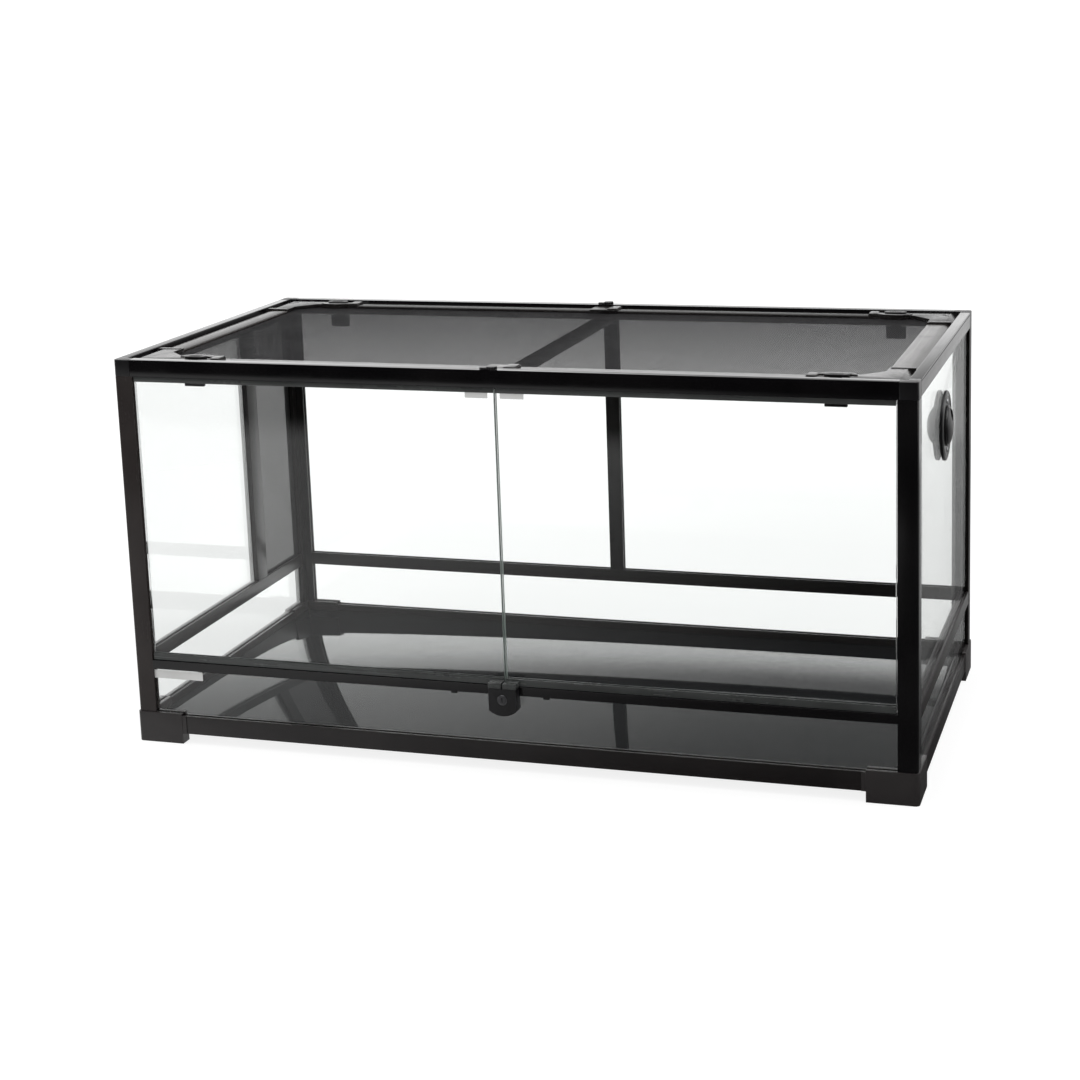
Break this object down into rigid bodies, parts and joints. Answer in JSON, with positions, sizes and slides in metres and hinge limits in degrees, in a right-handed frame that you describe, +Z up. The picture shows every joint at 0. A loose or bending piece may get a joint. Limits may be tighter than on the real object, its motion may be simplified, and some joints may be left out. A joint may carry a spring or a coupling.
{
  "type": "reptile terrarium",
  "caption": "Front-opening glass reptile terrarium in a black frame, with swing doors, a lift-off screen lid, a side vent and a turning cable port.",
  "frame": {"origin": "on the table, under the middle of the four feet", "axes": "+X to the right along the front, -Y out through the doors, +Z up"},
  "size_m": [0.9192, 0.4672, 0.4572],
  "materials": {
    "frame_black": "glossy extruded plastic, fine grain",
    "base_charcoal": "satin charcoal plastic",
    "fitting_plastic": "satin moulded plastic",
    "clear_glass": "clear, faint green edge",
    "smoked_glass": "dark tinted, polished",
    "screen_mesh": "dark coated woven screen",
    "rubber_black": "matte",
    "dark_metal": "blackened, fine brushed",
    "bright_metal": "plated"
  },
  "bodies": {
    "frame": {"foot_front_left": "base_charcoal", "foot_front_right": "base_charcoal", "foot_rear_left": "base_charcoal", "foot_rear_right": "base_charcoal", "bottom_rail_front": "base_charcoal", "bottom_rail_rear": "base_charcoal", "bottom_rail_left": "base_charcoal", "bottom_rail_right": "base_charcoal", "floor_ledges": "base_charcoal", "floor_panel": "smoked_glass", "post_front_left": "frame_black", "post_front_right": "frame_black", "post_rear_left": "frame_black", "post_rear_right": "frame_black", "front_sill": "frame_black", "mid_rail_rear": "frame_black", "mid_rail_left": "frame_black", "mid_rail_right": "frame_black", "base_glass_front": "clear_glass", "base_glass_rear": "clear_glass", "base_glass_left": "clear_glass", "base_glass_right": "clear_glass", "centre_post": "frame_black", "rear_glass_left": "clear_glass", "rear_glass_right": "clear_glass", "left_glass": "clear_glass", "vent_divider": "base_charcoal", "vent_screen": "screen_mesh", "right_glass": "clear_glass", "top_rail_front": "frame_black", "top_rail_rear": "frame_black", "top_rail_left": "frame_black", "top_rail_right": "frame_black", "top_corner_caps": "fitting_plastic", "top_cross_bar": "frame_black", "sill_wedges": "rubber_black", "lock_body": "fitting_plastic", "port_flange_outer": "fitting_plastic", "port_flange_inner": "fitting_plastic", "port_screws": "dark_metal"},
    "door_left": {"door_glass_left": "clear_glass", "door_strips_left": "frame_black"},
    "door_right": {"door_glass_right": "clear_glass", "door_strips_right": "frame_black"},
    "lid": {"lid_rail_front": "frame_black", "lid_rail_rear": "frame_black", "lid_rail_left": "frame_black", "lid_rail_right": "frame_black", "lid_corners": "fitting_plastic", "lid_tees": "fitting_plastic", "lid_screen": "screen_mesh"},
    "latch_front_left": {"latch_front_left": "fitting_plastic"},
    "latch_front_right": {"latch_front_right": "fitting_plastic"},
    "latch_rear_left": {"latch_rear_left": "fitting_plastic"},
    "latch_rear_right": {"latch_rear_right": "fitting_plastic"},
    "turn_button_front": {"turn_button_front": "fitting_plastic"},
    "turn_button_rear": {"turn_button_rear": "fitting_plastic"},
    "lock_cylinder": {"lock_cylinder": "dark_metal"},
    "lock_bolt": {"lock_bolt": "bright_metal"},
    "port_dial": {"port_dial": "fitting_plastic"}
  },
  "joints": [
    {"name": "door_left_hinge", "type": "hinge", "parent": "frame", "child": "door_left", "pos_m": [-0.4242, -0.2216, 0.2672], "axis": [0, 0, -1], "range_deg": [0, 105]},
    {"name": "door_right_hinge", "type": "hinge", "parent": "frame", "child": "door_right", "pos_m": [0.4242, -0.2216, 0.2672], "axis": [0, 0, 1], "range_deg": [0, 105]},
    {"name": "lid_lift", "type": "slide", "parent": "frame", "child": "lid", "axis": [0, 0, 1], "range_m": [0, 0.08]},
    {"name": "latch_front_left_slide", "type": "slide", "parent": "lid", "child": "latch_front_left", "axis": [0, -1, 0], "range_m": [0, 0.006]},
    {"name": "latch_front_right_slide", "type": "slide", "parent": "lid", "child": "latch_front_right", "axis": [0, -1, 0], "range_m": [0, 0.006]},
    {"name": "latch_rear_left_slide", "type": "slide", "parent": "lid", "child": "latch_rear_left", "axis": [0, 1, 0], "range_m": [0, 0.006]},
    {"name": "latch_rear_right_slide", "type": "slide", "parent": "lid", "child": "latch_rear_right", "axis": [0, 1, 0], "range_m": [0, 0.006]},
    {"name": "turn_button_front_pivot", "type": "hinge", "parent": "frame", "child": "turn_button_front", "pos_m": [-0.003, -0.2211, 0.454], "axis": [0, 0, -1], "range_deg": [0, 90]},
    {"name": "turn_button_rear_pivot", "type": "hinge", "parent": "frame", "child": "turn_button_rear", "pos_m": [-0.003, 0.2211, 0.454], "axis": [0, 0, 1], "range_deg": [0, 90]},
    {"name": "lock_key_turn", "type": "hinge", "parent": "frame", "child": "lock_cylinder", "pos_m": [0, -0.2355, 0.0868], "axis": [0, -1, 0], "range_deg": [0, 90]},
    {"name": "lock_bolt_slide", "type": "slide", "parent": "frame", "child": "lock_bolt", "axis": [0, 0, 1], "range_m": [0, 0.003]},
    {"name": "port_dial_turn", "type": "hinge", "parent": "frame", "child": "port_dial", "pos_m": [0.4497, 0, 0.36], "axis": [1, 0, 0], "range_deg": [0, 180]}
  ],
  "couplings": [
    {"joint": "lock_key_turn", "follows": "lock_bolt_slide", "rad_per_m": 523.59}
  ]
}
